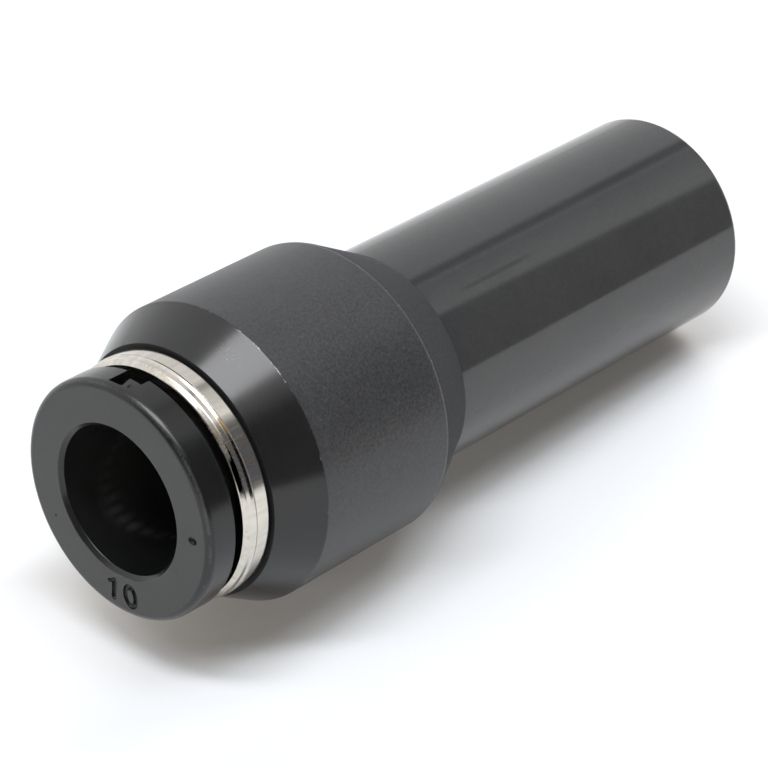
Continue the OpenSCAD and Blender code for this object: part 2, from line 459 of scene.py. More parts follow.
def addBall(place, size):
    deselectAll()
    bpy.ops.mesh.primitive_uv_sphere_add(segments=32, ring_count=16, radius=mm)
    ball = bpy.context.object
    for vertex in ball.data.vertices:
        vertex.co = [place[i] * mm + vertex.co[i] * size[i] for i in range(3)]
    return ball


# A flat outline in the plane across X, given as (y, z), run from one x to another
def addPrism(outline, fromX, toX):
    deselectAll()
    bpy.ops.mesh.primitive_circle_add(vertices=len(outline), radius=mm, fill_type="NGON")
    prism = bpy.context.object
    for vertex, (y, z) in zip(prism.data.vertices, outline):
        vertex.co = (fromX * mm, y * mm, z * mm)
    bpy.ops.object.mode_set(mode="EDIT")
    bpy.ops.mesh.select_all(action="SELECT")
    bpy.ops.mesh.extrude_region_move(TRANSFORM_OT_translate={"value": ((toX - fromX) * mm, 0, 0)})
    bpy.ops.mesh.select_all(action="SELECT")
    bpy.ops.mesh.normals_make_consistent(inside=False)
    bpy.ops.object.mode_set(mode="OBJECT")
    return prism


def turnAndPlace(piece, turn, place=(0, 0, 0)):
    makeActive(piece)
    piece.rotation_euler = turn
    piece.location = [c * mm for c in place]
    bpy.ops.object.transform_apply(location=True, rotation=True, scale=True)


def copyPiece(piece):
    makeActive(piece)
    bpy.ops.object.duplicate()
    return bpy.context.object


def applyModifier(piece, kind, settings):
    makeActive(piece)
    bpy.ops.object.modifier_add(type=kind)
    modifier = piece.modifiers[-1]
    for name, value in settings.items():
        setattr(modifier, name, value)
    bpy.ops.object.modifier_apply(modifier=modifier.name)


def cutWith(piece, cutter, operation="DIFFERENCE"):
    applyModifier(piece, "BOOLEAN", {"operation": operation, "object": cutter, "solver": "EXACT"})
    bpy.data.objects.remove(cutter)


def scalePiece(piece, factor):
    makeActive(piece)
    piece.scale = (factor, factor, factor)
    bpy.ops.object.transform_apply(location=False, rotation=False, scale=True)


# Wide faces keep their own normals next to narrow rounded ones. The weights don't work on faces
# under a square millimetre, so the piece is a thousand times larger meanwhile
def smoothPiece(piece, angle=30):
    scalePiece(piece, 1 / mm)
    bpy.ops.object.shade_smooth_by_angle(angle=radians(angle))
    applyModifier(piece, "WEIGHTED_NORMAL", {"mode": "FACE_AREA", "weight": 70, "keep_sharp": True})
    scalePiece(piece, mm)


def finishPiece(piece, body, node, material, angle=32):
    smoothPiece(piece, angle)
    piece.data.materials.clear()
    piece.data.materials.append(material)
    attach(piece, body)
    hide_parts(node)
    print(piece.name, "has", len(piece.data.polygons), "faces")


# Finishes

# Object coordinates in millimetres
def objectPlace(g):
    return g.scaled(g.add("ShaderNodeTexCoord", {}, {}, out=3), (1000, 1000, 1000))


def axisParts(g, place):
    split = g.add("ShaderNodeSeparateXYZ", {}, {0: place})
    x, y, z = (Wire(g, split.socket.node.outputs[i]) for i in range(3))
    return x, y, z, (x * x + y * y) ** 0.5


def finishMaterial(material, g, sockets):
    shader = g.add("ShaderNodeBsdfPrincipled", {}, sockets)
    g.finish("ShaderNodeOutputMaterial", shader)
    return material


# Degrees round the axis, 0 at +X
def turnRound(x, y):
    return x.math("ARCTAN2", y, x) * degrees(1)


# Scattered specks: one in some cells of a Voronoi pattern
def specks(g, place, scale, size, share):
    cells = g.add("ShaderNodeTexVoronoi", {}, {"Vector": place, "Scale": scale, "Randomness": 1.0})
    picked = g.add("ShaderNodeSeparateColor", {}, {0: Wire(g, cells.socket.node.outputs[1])})
    reach = size * scale
    return (1 - g.smooth(cells, reach * 0.7, reach)) * g.smooth(picked, 1 - share, 1.01 - share)


# Body: one moulding, glossy on the stem, matte on the taper and the cylinder, and turned bright on
# the cone. Millimetres
bodyShape = {
    "stem": stemR / mm,
    "stemEndRound": 0.5,
    "core": 5.5,
    "coreTop": 31.5,
    "coreLip": 0.25,
    "flowHole": 3.75,
    "taperLow": 30.7,
    "taperStep": 0.2,
    "taperTop": 35.1,
    "barrel": barrelR / mm,
    "rearEdge": 0.25,
    "coneLow": 46.7,
    "mouth": mouthZ / mm,
    "mouthR": 8.83,
    "seat": 5.1,
    "seatLow": 34.7,
    "pocket": 7.2,
    "pocketLow": sleeveLow.z / mm,
    "shank": 8.2,
    "clawSeat": clawHigh.z / mm - 0.35,
}


def makeBody(s):
    section = [
        (s["core"], 0, s["coreLip"]),
        (s["stem"], 0, s["stemEndRound"]),
        (s["stem"], s["taperLow"], 0.05),
        (s["stem"] + s["taperStep"], s["taperLow"], 0.06),
        (s["barrel"], s["taperTop"], s["rearEdge"]),
        (s["barrel"], s["coneLow"], 0.03),
        (s["mouthR"], s["mouth"], 0.04),
        (s["shank"], s["mouth"], 0.04),
        (s["shank"], s["clawSeat"], 0),
        (s["pocket"], s["clawSeat"], 0.05),
        (s["pocket"], s["pocketLow"], 0.1),
        (s["seat"], s["pocketLow"], 0.05),
        (s["seat"], s["seatLow"], 0.05),
        (s["flowHole"], s["seatLow"], 0.1),
        (s["flowHole"], s["coreTop"], 0.1),
        (s["core"], s["coreTop"], 0.2),
    ]
    return turnPiece("bodyMoulding", section, steps=256)


bodyFinish = {
    "stemTone": 0.0375,
    "matteTone": 0.0285,
    "taperTone": 0.028,
    "coneTone": 0.0092,
    "insideTone": 0.03,
    "stemTinge": rgb(0.99, 0.995, 1.005),
    "coolTinge": rgb(0.95, 0.985, 1.05),
    "stemRough": 0.10,
    "matteRough": 0.42,
    "taperRough": 0.85,
    "coneRough": 0.17,
    "insideRough": 0.4,
    "outsideFrom": (7.6, 7.8),
    "cloudTone": 0.28,
    "cloudRough": 0.05,
    "mottleTone": 0.2,
    "fineTone": 0.35,
    "grainSize": 5.0,
    "grainDeep": 0.007,
    "grainTone": 1.9,
    "grainRough": 0.10,
    "turnedLines": 9.0,
    "turnedDeep": 0.0020,
    "turnedTone": 0.006,
    "turnedRough": 0.10,
    "drawnDeep": 0.00035,
    "drawnRough": 0.035,
    "dustTone": 0.09,
    "wearAndGlintTone": 0.34,
    "wornRough": 0.15,
    "glintTurn": (-44, -14),
    "creaseShade": 0.55,
    "mouthShade": 0.97,
    "mouthRough": 0.5,
    "scratchGlintTurn": (-27, -17),
    "scratchGlintZ": (47.75, 48.45),
    "scratchGlintTone": 0.10,
    "scuffTurn": (-39.8, -37.6),
    "scuffZ": (20.6, 27.2),
    "scuffShade": 0.35,
    "scuffRough": 0.12,
}


# The stem is glossy from the mould, the taper and cylinder have its spark-eroded grain, and the
# cone is turned, which leaves fine rings. Worn spots lie along the edges, with painted glints on
# the cone's lit edge, and painted highlights and shade mark other edges and the mouth
def bodyMaterial(s, shape):
    material, g = newMaterial("charcoalResin")
    place = objectPlace(g)
    x, y, z, radius = axisParts(g, place)
    turn = turnRound(x, y)
    taperTop, coneLow, mouth = shape["taperTop"], shape["coneLow"], shape["mouth"]
    outside = g.smooth(radius, *s["outsideFrom"])
    matte = g.band(z, shape["taperLow"], coneLow, 0.015) * outside
    cone = g.smooth(z, coneLow - 0.015, coneLow + 0.015) * outside
    glossy = 1 - matte - cone
    taper = matte * (1 - g.smooth(z, taperTop - 0.1, taperTop + 0.1))
    cloud = g.noise(place, 0.16, 3.0, 0.55)
    mottle = g.noise(place, 1.3, 3.0, 0.6)
    fineMottle = g.noise(place, 3.1, 3.0, 0.7)
    grain = g.noise(place, s["grainSize"], 2.0, 0.7)
    drawn = g.noise(g.scaled(place, (2.2, 2.2, 0.04)), 1.0, 3.0, 0.6)
    lines = g.noise(g.scaled(place, (0.10, 0.10, s["turnedLines"])), 1.0, 3.0, 0.7)
    dust = specks(g, place, 0.30, 0.06, 0.30)
    # Edges where handling has rubbed the finish. On the cone's edge the pale chips are strongest on
    # its lit side, where they are painted glints
    coneEdge = g.band(z, coneLow - 0.02, coneLow + 0.05, 0.03) * 0.9
    coneEdge = coneEdge * (0.25 + g.band(turn, *s["glintTurn"], 5.0))
    rearEdge = g.band(z, taperTop - 0.05, taperTop + 0.1, 0.06) * 0.25
    stemEdge = (1 - g.smooth(z, 0.15, 0.5)) * 0.35
    chips = g.smooth(g.noise(place, 2.6, 4.0, 0.75), 0.56, 0.66)
    wornAndGlinting = g.clamp((coneEdge + rearEdge + stemEdge) * outside * chips)
    # Painted shade in a dark line before the cone and on the mouth face in the gap under the guide
    # ring, which is also made rough, and a painted highlight as a pale line round the taper's top,
    # with worn chips in it
    crease = g.band(z, coneLow - 0.06, coneLow - 0.005, 0.02) * outside
    mouthFace = g.smooth(z, mouth - 0.03, mouth - 0.01) * outside
    rearHighlightLine = g.band(z, taperTop - 0.02, taperTop + 0.16, 0.05) * outside
    # Fine scratches across the cone's bright side, painted pale as glints only where the highlight
    # falls, and a dull scuff on the stem
    scratchGlints = g.smooth(g.noise(place, 5.0, 4.0, 0.75), 0.57, 0.66) * g.band(turn, *s["scratchGlintTurn"], 3.0)
    scratchGlints = scratchGlints * g.band(z, *s["scratchGlintZ"], 0.15) * outside
    scuff = g.band(turn, *s["scuffTurn"], 0.5) * g.band(z, *s["scuffZ"], 1.2)
    tone = s["stemTone"] + matte * (s["matteTone"] - s["stemTone"])
    tone = tone + cone * (s["coneTone"] - s["stemTone"])
    tone = tone + taper * (s["taperTone"] - s["matteTone"])
    tone = g.between(outside, s["insideTone"], tone)
    mottled = 1 + (grain - 0.5) * matte * s["grainTone"]
    mottled = mottled + (mottle - 0.5) * s["mottleTone"] + (fineMottle - 0.5) * s["fineTone"]
    tone = tone * (1 + (cloud - 0.5) * s["cloudTone"]) * mottled
    # Painted shade along the line before the cone
    tone = tone * (1 - scuff * s["scuffShade"] - crease * s["creaseShade"])
    # Painted shade on the mouth face under the guide ring
    tone = tone * (1 - mouthFace * s["mouthShade"])
    # Pale worn chips on the edges, with painted glints on the cone's lit edge
    tone = tone + cone * (lines - 0.5) * s["turnedTone"] + wornAndGlinting * s["wearAndGlintTone"]
    tone = tone + dust * s["dustTone"] * (outside - matte * 0.6)
    # Painted highlight round the taper's top, with worn chips in it, and painted glints on the
    # cone's scratches
    tone = tone + rearHighlightLine * (0.02 + chips * 0.03) + scratchGlints * s["scratchGlintTone"]
    tinge = g.mix(cone * 0.5 + matte * 0.35, s["stemTinge"], s["coolTinge"])
    rough = s["stemRough"] + matte * (s["matteRough"] - s["stemRough"])
    rough = rough + cone * (s["coneRough"] - s["stemRough"])
    rough = rough + taper * (s["taperRough"] - s["matteRough"])
    rough = g.between(outside, s["insideRough"], rough)
    rough = rough + mouthFace * s["mouthRough"] + (cloud - 0.5) * s["cloudRough"]
    rough = rough + (grain - 0.5) * matte * s["grainRough"]
    rough = rough + scuff * s["scuffRough"] + wornAndGlinting * s["wornRough"]
    rough = rough + (lines - 0.5) * cone * s["turnedRough"]
    rough = rough + g.smooth(drawn, 0.58, 0.75) * glossy * outside * s["drawnRough"]
    height = grain * matte * s["grainDeep"] + lines * cone * s["turnedDeep"]
    height = height + drawn * glossy * s["drawnDeep"] + (1 - outside) * mottle * 0.004
    sockets = {
        "IOR": 1.5,
        "Base Color": g.tint(tone, tinge),
        "Roughness": g.clamp(rough),
        "Normal": g.bump(height),
    }
    return finishMaterial(material, g, sockets)


# Guide ring: turned brass with nickel plating. The head has a wide rear band, a fine groove, two
# sloped shoulders and a rounded front edge
guideShape = {
    "shankLow": guideLow.z / mm,
    "shankIn": 7.0,
    "shank": 8.16,
    "seat": mouthZ / mm,
    "relief": 8.35,
    "reliefTop": 50.08,
    "head": guideHigh.x / mm,
    "groove": 51.11,
    "grooveDeep": 0.05,
    "shoulder": 51.18,
    "middle": 8.45,
    "middleLow": 51.36,
    "middleTop": 51.69,
    "front": 8.40,
    "frontLow": 51.77,
    "edge": 8.24,
    "edgeLow": 51.98,
    "top": guideHigh.z / mm - 0.12,
    "lip": 6.3,
    "lipLow": 50.9,
}


def makeGuideRing(s):
    section = [
        (s["shankIn"], s["shankLow"], 0.1),
        (s["shank"], s["shankLow"], 0.15),
        (s["shank"], s["seat"], 0),
        (s["relief"], s["seat"], 0),
        (s["relief"], s["reliefTop"], 0),
        (s["head"], s["reliefTop"], 0.03),
        (s["head"], s["groove"] - 0.04, 0.01),
        (s["head"] - s["grooveDeep"], s["groove"] - 0.02, 0.01),
        (s["head"] - s["grooveDeep"], s["groove"] + 0.02, 0.01),
        (s["head"] - 0.01, s["groove"] + 0.04, 0.01),
        (s["head"] - 0.01, s["shoulder"], 0.02),
        (s["middle"], s["middleLow"], 0.03),
        (s["middle"], s["middleTop"], 0.03),
        (s["front"], s["frontLow"], 0.03),
        (s["edge"], s["edgeLow"], 0.03),
        (s["edge"] - 0.07, s["top"], 0.02),
        (s["lip"], s["top"], 0.08),
        (s["lip"], s["lipLow"], 0.05),
        (s["shankIn"], s["lipLow"], 0.1),
    ]
    return turnPiece("guideRing", section, steps=256)


nickelFinish = {
    "nickel": rgb(0.665, 0.63, 0.565),
    "dull": rgb(0.57, 0.54, 0.49),
    "brass": rgb(0.52, 0.36, 0.14),
    "brown": rgb(0.24, 0.15, 0.09),
    "plum": rgb(0.36, 0.29, 0.30),
    "tan": rgb(0.46, 0.38, 0.27),
    "marks": rgb(0.42, 0.35, 0.27),
    "blueWipeSheen": rgb(0.62, 0.66, 0.80),
    "dirtAndShade": rgb(0.030, 0.019, 0.012),
    "gapShade": rgb(0.010, 0.009, 0.008),
    "rough": 0.15,
    "tarnishRough": 0.26,
    "lineRough": 0.10,
    "wipedRough": 0.12,
    "smearRough": 0.05,
    "linesPerMm": 16.0,
    "lineDeep": 0.0007,
    "pitDeep": 0.004,
    "outerFrom": (8.2, 8.3),
    "wipeSheenTurn": (-72, -46),
    "marksShare": 0.45,
    "blueShare": 0.7,
    "brassTurn": (-57, -42),
    "brassShare": 0.8,
    "brownTurn": (-54, -28),
    "brownShare": 0.7,
    "tanTurn": (-19, 3),
    "tanShare": 0.7,
    "cleanTurn": (-62, 10),
    "hiddenShare": 0.5,
    "filledTurn": (-22, 2),
    "filledLeast": 0.25,
    "darkReflectionTurn": (-77, -40),
    "rustTurn": (-49, -38),
    "rustShare": 0.45,
}


# Nickel over turned brass: fine rings from the tool, a groove full of dirt, and a front edge where
# the plating has worn through and tarnished. Painted shade darkens the seat below the head and a
# slope, and the wipe marks carry painted reflections
def nickelMaterial(s, shape):
    material, g = newMaterial("nickelPlate")
    place = objectPlace(g)
    x, y, z, radius = axisParts(g, place)
    turn = turnRound(x, y)
    lines = g.noise(g.scaled(place, (0.25, 0.25, s["linesPerMm"])), 1.0, 3.0, 0.7)
    blot = g.noise(place, 1.6, 4.0, 0.65)
    fine = g.noise(place, 9.0, 3.0, 0.7)
    smear = g.noise(g.scaled(place, (1.2, 1.2, 0.5)), 1.0, 3.0, 0.6)
    # Wipe marks that run along the axis, thin ones and broad ones
    streak = g.noise(g.scaled(place, (5.0, 5.0, 0.35)), 1.0, 3.0, 0.65)
    wiped = g.noise(g.scaled(place, (1.9, 1.9, 0.15)), 1.0, 4.0, 0.6)
    outer = g.smooth(radius, *s["outerFrom"])
    # Tarnish on the front edge, in stretches round it
    uneven = turn + (blot - 0.5) * 8
    thin = g.smooth(streak, 0.50, 0.60)
    frontLow, middleTop = shape["frontLow"], shape["middleTop"]
    edge = g.smooth(z + (streak - 0.5) * 0.5, middleTop - 0.08, frontLow + 0.04)
    edge = edge * g.smooth(radius, shape["edge"] - 0.15, shape["edge"] - 0.05)
    brassy = g.band(uneven, *s["brassTurn"], 3.0) * thin
    browned = g.band(uneven, *s["brownTurn"], 4.0) * g.smooth(1 - streak, 0.46, 0.60)
    tanned = g.band(uneven, *s["tanTurn"], 4.0) * thin
    hidden = (1 - g.band(turn, *s["cleanTurn"], 6.0)) * g.smooth(blot, 0.52, 0.68) * thin
    stained = edge * g.clamp(brassy + browned + tanned + hidden)
    # Dirt in the groove. The slope behind the middle band is painted dark in the dirt colour as a
    # reflection of the open dark side, and the seat below the head is painted near black as shade
    groove = g.band(z, shape["groove"] - 0.035, shape["groove"] + 0.035, 0.01) * outer
    filled = g.band(turn, *s["filledTurn"], 3.0) * (0.9 + (fine - 0.5) * 0.8)
    filled = g.clamp(filled + s["filledLeast"])
    darkReflection = g.band(z, shape["shoulder"], shape["middleLow"] - 0.03, 0.02) * outer
    darkReflection = darkReflection * g.band(turn, *s["darkReflectionTurn"], 2.0) * g.clamp(0.9 + (fine - 0.5) * 1.4)
    rusty = g.band(turn, *s["rustTurn"], 3.0) * s["rustShare"]
    reliefTop = shape["reliefTop"]
    seatShade = (1 - g.smooth(z, reliefTop - 0.02, reliefTop + 0.04)) * outer
    # Where the light side ends, the wipe marks carry painted brown and blue reflections
    wipeSheen = g.band(turn, *s["wipeSheenTurn"], 4.0) * outer * (1 - g.smooth(z, middleTop, frontLow))
    brownWipeSheen = wipeSheen * g.smooth(streak, 0.46, 0.6) * s["marksShare"]
    blueWipeSheen = wipeSheen * g.smooth(1 - streak, 0.46, 0.6) * s["blueShare"]
    colour = g.mix(g.smooth(wiped, 0.35, 0.7), s["nickel"], s["dull"])
    layers = (
        (brownWipeSheen, s["marks"]),
        (blueWipeSheen, s["blueWipeSheen"]),
        (edge * browned * s["brownShare"], g.mix(g.smooth(fine, 0.4, 0.6), s["plum"], s["brown"])),
        (edge * brassy * s["brassShare"], s["brass"]),
        (edge * tanned * s["tanShare"], s["tan"]),
        (edge * hidden * s["hiddenShare"], s["brass"]),
        (groove * filled, s["dirtAndShade"]),
        # Painted dark reflection on the slope, in the dirt colour
        (darkReflection, s["dirtAndShade"]),
        (g.clamp(groove + darkReflection) * rusty, s["brass"]),
        # Painted shade in the seat below the head
        (seatShade, s["gapShade"]),
    )
    for share, layer in layers:
        colour = g.mix(share, colour, layer)
    rough = g.between(stained, s["rough"], s["tarnishRough"])
    rough = rough + (lines - 0.5) * s["lineRough"] + (wiped - 0.5) * s["wipedRough"]
    rough = rough + (smear - 0.5) * s["smearRough"]
    rough = rough + wipeSheen * (g.smooth(streak, 0.42, 0.62) * 0.14 - 0.02)
    rough = rough + groove * 0.3 + seatShade * 0.5 + darkReflection * 0.04
    pits = g.smooth(fine, 0.62, 0.75) * stained
    sockets = {
        "Base Color": colour,
        "Roughness": g.clamp(rough),
        "Metallic": 1 - g.clamp(seatShade + edge * browned * 0.2),
        "Normal": g.bump(lines * s["lineDeep"] - pits * s["pitDeep"]),
    }
    return finishMaterial(material, g, sockets)


# Release ring: moulded, with a stepped notch in the flange's rear, the tube's size sunk in its face
# and the marks that the mould left
buttonShape = {
    "bore": boreR / mm,
    "tipFlat": 5.7,
    "tip": buttonLow.z / mm,
    "neck": 6.2,
    "collar": 6.55,
    "collarLow": 49.9,
    "collarTop": 50.85,
    "flange": buttonHigh.y / mm,
    "flangeLow": 52.9,
    "face": buttonHigh.z / mm,
    "frontRound": 0.55,
    "mouthChamfer": 0.3,
    "notchLeft": -1.17,
    "notchRight": 0.78,
    "notchTop": 53.62,
    "slotFoot": -0.16,
    "slotLean": -0.26,
    "slotTop": 54.62,
    "notchIn": 6.9,
}

# Dents that the mould's gate and pins left: place and half size
dents = (
    ((8.43 * cos(radians(-6)), 8.43 * sin(radians(-6)), 54.28), (0.12, 0.17, 0.26)),
    ((6.77 * cos(radians(119)), 6.77 * sin(radians(119)), 55.2), (0.10, 0.10, 0.08)),
    ((6.88 * cos(radians(-91)), 6.88 * sin(radians(-91)), 55.2), (0.27, 0.36, 0.26)),
)
# What stands up again inside the last dent and leaves a crescent of it
pip = ((6.86 * cos(radians(-92.6)), 6.86 * sin(radians(-92.6)), 55.03), (0.16, 0.20, 0.14))

# The size stands with its foot outwards. Angles are degrees round the face from +X
digits = {
    "oneAngle": 174.4,
    "oneRadius": 6.76,
    "oneHigh": 1.72,
    "flag": 0.46,
    "flagDrop": 0.22,
    "flagThin": 0.7,
    "flagShallow": 0.6,
    "noughtAngle": 187.2,
    "noughtRadius": 6.80,
    "noughtWide": 1.36,
    "noughtHigh": 1.82,
    "stroke": 0.42,
    "deep": 0.26,
}


def makeButton(s):
    section = [
        (s["bore"], s["tip"], 0.05),
        (s["tipFlat"], s["tip"], 0.05),
        (s["neck"], s["tip"] + 1, 0.1),
        (s["neck"], s["collarLow"] - (s["collar"] - s["neck"]), 0.05),
        (s["collar"], s["collarLow"], 0.05),
        (s["collar"], s["collarTop"], 0.03),
        (s["neck"], s["collarTop"], 0.05),
        (s["neck"], s["flangeLow"], 0.15),
        (s["flange"], s["flangeLow"], 0.06),
        (s["flange"], s["face"], s["frontRound"]),
        (s["bore"] + s["mouthChamfer"], s["face"], 0.04),
        (s["bore"], s["face"] - s["mouthChamfer"], 0.04),
    ]
    ring = turnPiece("releaseRing", section, steps=192)
    below = s["flangeLow"] - 1
    outline = [
        (s["notchLeft"], below),
        (s["notchLeft"], s["notchTop"]),
        (s["slotFoot"], s["notchTop"]),
        (s["slotFoot"] + s["slotLean"], s["slotTop"] - 0.12),
        (s["slotFoot"] + s["slotLean"] + 0.14, s["slotTop"]),
        (s["notchRight"], s["slotTop"]),
        (s["notchRight"], below),
    ]
    cutWith(ring, addPrism(outline, s["notchIn"], 9))
    for place, size in dents:
        cutWith(ring, addBall(place, size))
    cutWith(ring, addBall(*pip), "UNION")
    return ring


# A stroke is a round-nosed bar that lies in the face, from one point of it to another
def addStroke(start, end, width, deep):
    along = Vector(end) - Vector(start)
    deselectAll()
    bpy.ops.mesh.primitive_uv_sphere_add(segments=24, ring_count=12, radius=mm)
    bar = bpy.context.object
    for vertex in bar.data.vertices:
        side = along.length / 2 if vertex.co.x > 0 else -along.length / 2
        x, y, z = vertex.co
        vertex.co = (x * width / 2 + side * mm, y * width / 2, z * deep)
    middle = (Vector(start) + Vector(end)) / 2
    turnAndPlace(bar, (0, 0, along.xy.angle_signed(Vector((1, 0)))), middle)
    return bar


def cutDigits(ring, s, face):
    def onFace(radius, angle, across, up):
        out = Vector((cos(radians(angle)), sin(radians(angle)), 0))
        return out * (radius - up) + Vector((-out.y, out.x, 0)) * across + Vector((0, 0, face))

    half = (s["oneHigh"] - s["stroke"]) / 2
    top = onFace(s["oneRadius"], s["oneAngle"], 0, half)
    foot = onFace(s["oneRadius"], s["oneAngle"], 0, -half)
    flag = onFace(s["oneRadius"], s["oneAngle"], -s["flag"], half - s["flagDrop"])
    cutWith(ring, addStroke(foot, top, s["stroke"], s["deep"]))
    thin, shallow = s["stroke"] * s["flagThin"], s["deep"] * s["flagShallow"]
    cutWith(ring, addStroke(flag, top, thin, shallow))
    # The nought starts as a thin tube and is stretched to the oval, the stroke and the depth
    deselectAll()
    timesThinner = 10
    bpy.ops.mesh.primitive_torus_add(
        major_segments=64, minor_segments=16, major_radius=mm, minor_radius=mm / timesThinner
    )
    nought = bpy.context.object
    wide, high = (s["noughtWide"] - s["stroke"]) / 2, (s["noughtHigh"] - s["stroke"]) / 2
    for vertex in nought.data.vertices:
        flat = Vector((vertex.co.x, vertex.co.y, 0))
        towards = flat.normalized()
        outwards = (flat.length / mm - 1) * timesThinner * s["stroke"] / 2
        across, along = towards.x * (wide + outwards), towards.y * (high + outwards)
        vertex.co = (across * mm, along * mm, vertex.co.z * timesThinner * s["deep"])
    upright = (0, 0, radians(s["noughtAngle"]) + pi / 2)
    turnAndPlace(nought, upright, onFace(s["noughtRadius"], s["noughtAngle"], 0, 0))
    cutWith(ring, nought)


acetalFinish = {
    "tone": 0.0065,
    "faceTone": 0.0150,
    "sunkShadeTone": 0.003,
    "boreTone": 0.008,
    "gapTone": 0.03,
    "tinge": (0.97, 1.0, 1.01),
    "faceRough": 0.30,
    "sideRough": 0.22,
    "boreRough": 0.13,
    "sunkRough": 0.15,
    "flowTone": 0.68,
    "flowRough": 0.10,
    "flowDeep": 0.006,
    "fineTone": 0.36,
    "fineRough": 0.05,
    "fineDeep": 0.0006,
    "peelSize": 1.5,
    "peelDeep": 0.0022,
    "rubbedTone": 0.03,
    "dustTone": 0.10,
    "dustRough": 0.3,
}


# Satin acetal with a faint orange peel, flow marks round the face, rubbed edges and fine dust,
# with painted shade on the digits' floors and painted light lifting the bore a little
def acetalMaterial(s, shape):
    material, g = newMaterial("satinAcetal")
    place = objectPlace(g)
    x, y, z, radius = axisParts(g, place)
    peel = g.noise(place, s["peelSize"], 3.0, 0.6)
    flow = g.noise(g.scaled(place, (0.35, 0.35, 0.9)), 1.0, 4.0, 0.6)
    fine = g.noise(place, 10.0, 2.0, 0.6)
    dust = specks(g, place, 0.55, 0.045, 0.35)
    face, bore, flange = shape["face"], shape["bore"], shape["flange"]
    onFace = g.smooth(z, face - 0.02, face - 0.005)
    # The bore is painted a little lighter than the rest, as a veil of stray light
    inBore = 1 - g.smooth(radius, bore + 0.02, bore + 0.06)
    # The floors of the digits, below the face and between its edges, painted darker as shade
    sunkShade = g.band(radius, 5.75, 7.7, 0.05) * g.band(z, face - 0.3, face - 0.02, 0.012)
    outerEdge = g.band(radius, flange - 0.22, flange - 0.05, 0.08)
    outerEdge = outerEdge * g.smooth(z, face - 0.35, face - 0.2)
    innerEdge = g.band(radius, bore + 0.22, bore + 0.34, 0.05)
    innerEdge = innerEdge * g.smooth(z, face - 0.06, face - 0.03)
    rubbed = (outerEdge + innerEdge) * g.smooth(fine * 0.5 + flow * 0.5, 0.42, 0.62)
    # The neck behind the flange, seen through the gap
    inGap = g.smooth(radius, 5.9, 6.1) * (1 - g.smooth(radius, 6.6, 6.8))
    inGap = inGap * (1 - g.smooth(z, face - 2, face - 1.8))
    tone = g.between(onFace, s["tone"], s["faceTone"])
    tone = tone * (1 + (flow - 0.5) * s["flowTone"]) * (1 + (fine - 0.5) * s["fineTone"])
    for share, patch in ((sunkShade, "sunkShadeTone"), (inBore, "boreTone"), (inGap, "gapTone")):
        tone = tone + share * (s[patch] - s["tone"])
    tone = tone + rubbed * s["rubbedTone"] + dust * s["dustTone"] * (1 - inBore)
    rough = g.between(onFace, s["sideRough"], s["faceRough"])
    rough = rough + inBore * (s["boreRough"] - s["sideRough"])
    rough = rough + (flow - 0.5) * s["flowRough"] + (fine - 0.5) * s["fineRough"]
    rough = rough + sunkShade * s["sunkRough"] + dust * s["dustRough"]
    height = peel * s["peelDeep"] + flow * s["flowDeep"] * (1 - inBore) + fine * s["fineDeep"]
    sockets = {
        "IOR": 1.48,
        "Base Color": g.tint(tone, s["tinge"]),
        "Roughness": g.clamp(rough),
        "Normal": g.bump(height),
    }
    return finishMaterial(material, g, sockets)


# Lock claws: a stamped ring, its teeth bent down and inwards
clawShape = {
    "sheet": 0.3,
    "rim": clawHigh.x / mm,
    "top": clawHigh.z / mm,
    "root": 6.9,
    "tip": 4.8,
    "slope": 35,
    "teeth": 14,
    "slot": 0.8,
}


def makeClaws(s):
    slope = radians(s["slope"])
    tipTop = s["top"] - (s["root"] - s["tip"]) * tan(slope)
    thick = s["sheet"] / cos(slope)
    section = [
        (s["rim"], s["top"] - s["sheet"], 0.04),
        (s["rim"], s["top"], 0.04),
        (s["root"], s["top"], 0.15),
        (s["tip"], tipTop, 0.03),
        (s["tip"], tipTop - thick, 0.03),
        (s["root"] + 0.09, s["top"] - s["sheet"], 0.15),
    ]
    ring = turnPiece("lockClaws", section, steps=s["teeth"] * 12)
    # One slot with a round root, copied round the ring
    half = s["slot"] / 2
    slot = addBlock((3, -half, tipTop - 1), (s["root"] - half, half, s["top"] + 1))
    bpy.ops.object.mode_set(mode="EDIT")
    bpy.ops.mesh.select_all(action="DESELECT")
    bm = bmesh.from_edit_mesh(slot.data)
    for edge in bm.edges:
        a, b = edge.verts[0].co, edge.verts[1].co
        edge.select = abs(a.z - b.z) > mm and min(a.x, b.x) > 4 * mm
    bpy.ops.mesh.bevel(offset=s["slot"] * 0.45 * mm, segments=4, affect="EDGES")
    bpy.ops.object.mode_set(mode="OBJECT")
    for i in range(s["teeth"]):
        cutter = copyPiece(slot)
        turnAndPlace(cutter, (0, 0, 2 * pi * i / s["teeth"]))
        cutWith(ring, cutter)
    bpy.data.objects.remove(slot)
    return ring


steelFinish = {
    "tone": rgb(0.58, 0.565, 0.54),
    "blued": rgb(0.34, 0.31, 0.30),
    "rough": 0.24,
    "brushRough": 0.16,
    "cloudRough": 0.10,
    "tipRough": 0.06,
    "brushDeep": 0.0012,
}


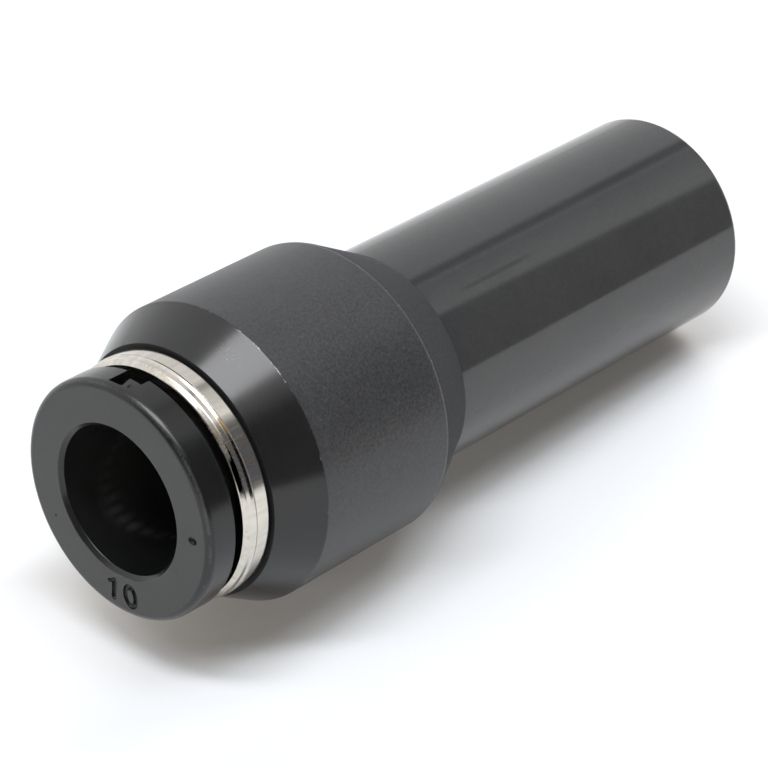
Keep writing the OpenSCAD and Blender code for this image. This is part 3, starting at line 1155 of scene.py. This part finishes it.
# Spring steel, brushed along the strip, with a trace of heat tint at the tips
def steelMaterial(s, shape):
    material, g = newMaterial("springSteel")
    place = objectPlace(g)
    x, y, z, radius = axisParts(g, place)
    brush = g.noise(g.scaled(place, (0.6, 14.0, 14.0)), 1.0, 3.0, 0.7)
    cloud = g.noise(place, 0.8, 3.0, 0.6)
    tip = shape["tip"]
    tips = 1 - g.smooth(radius + (cloud - 0.5) * 0.6, tip + 0.1, tip + 0.7)
    blued = g.clamp(tips * 0.5 + g.smooth(cloud, 0.5, 0.8) * 0.25)
    rough = s["rough"] + (brush - 0.5) * s["brushRough"] + (cloud - 0.5) * s["cloudRough"]
    sockets = {
        "Metallic": 1.0,
        "Base Color": g.mix(blued, s["tone"], s["blued"]),
        "Roughness": g.clamp(rough + tips * s["tipRough"]),
        "Normal": g.bump(brush * s["brushDeep"]),
    }
    return finishMaterial(material, g, sockets)


# Elastic sleeve: rubber, with a beaded lip and a groove behind it that opens downwards
sleeveShape = {
    "low": sleeveLow.z / mm,
    "high": sleeveHigh.z / mm,
    "out": sleeveHigh.x / mm,
    "leg": 5.15,
    "legThick": 0.85,
    "groove": 0.5,
    "grooveTop": 0.85,
    "lip": 4.85,
    "lipHalf": 0.3,
    "bead": 0.55,
}


def makeSleeve(s):
    # The lip and the groove's top are on one level
    level = s["high"] - s["grooveTop"]
    legOut = s["leg"] + s["legThick"]
    section = [
        (s["leg"], s["low"], 0.06),
        (legOut, s["low"], 0.06),
        (legOut, level, 0.2),
        (legOut + s["groove"], level, 0.2),
        (legOut + s["groove"], s["low"], 0.06),
        (s["out"], s["low"], 0.15),
        (s["out"], s["high"], 0.15),
        (s["leg"] + 0.35, s["high"], 0.2),
        (s["lip"], level + s["lipHalf"], 0.25),
        (s["lip"], level - s["lipHalf"], 0.25),
        (s["leg"], level - s["bead"] - 0.1, 0.15),
    ]
    return turnPiece("elasticSleeve", section, steps=128)


rubberFinish = {
    "tone": 0.011,
    "bloomTone": 0.02,
    "rough": 0.48,
    "grainRough": 0.12,
    "bloomRough": 0.15,
    "greasedRough": -0.2,
    "grainDeep": 0.003,
    "cloudDeep": 0.004,
}


# Nitrile with a fine ground surface, a grey bloom in patches and a trace of grease at the lip
def rubberMaterial(s, shape):
    material, g = newMaterial("nitrileRubber")
    place = objectPlace(g)
    x, y, z, radius = axisParts(g, place)
    grain = g.noise(place, 11.0, 3.0, 0.7)
    cloud = g.noise(place, 0.7, 4.0, 0.6)
    bloom = g.smooth(cloud, 0.52, 0.78)
    greased = 1 - g.smooth(radius, shape["lip"] + 0.1, shape["lip"] + 0.5)
    tone = s["tone"] * (0.85 + grain * 0.3) + bloom * s["bloomTone"]
    rough = s["rough"] + (grain - 0.5) * s["grainRough"] + bloom * s["bloomRough"]
    sockets = {
        "IOR": 1.52,
        "Base Color": g.greyTone(tone),
        "Roughness": g.clamp(rough + greased * s["greasedRough"]),
        "Normal": g.bump(grain * s["grainDeep"] + cloud * s["cloudDeep"]),
    }
    return finishMaterial(material, g, sockets)


body = makeBody(bodyShape)
finishPiece(body, "housing", "body", bodyMaterial(bodyFinish, bodyShape))
guideRing = makeGuideRing(guideShape)
finishPiece(guideRing, "housing", "guide_ring", nickelMaterial(nickelFinish, guideShape), 40)
button = makeButton(buttonShape)
cutDigits(button, digits, buttonShape["face"])
finishPiece(button, "release_ring", "release_ring", acetalMaterial(acetalFinish, buttonShape))
sleeve = makeSleeve(sleeveShape)
finishPiece(sleeve, "housing", "elastic_sleeve", rubberMaterial(rubberFinish, sleeveShape))
claws = makeClaws(clawShape)
smoothPiece(claws)
claws.data.materials.append(steelMaterial(steelFinish, clawShape))
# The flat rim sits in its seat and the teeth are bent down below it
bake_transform(claws)
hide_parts("lock_claws")
print("pieces made")
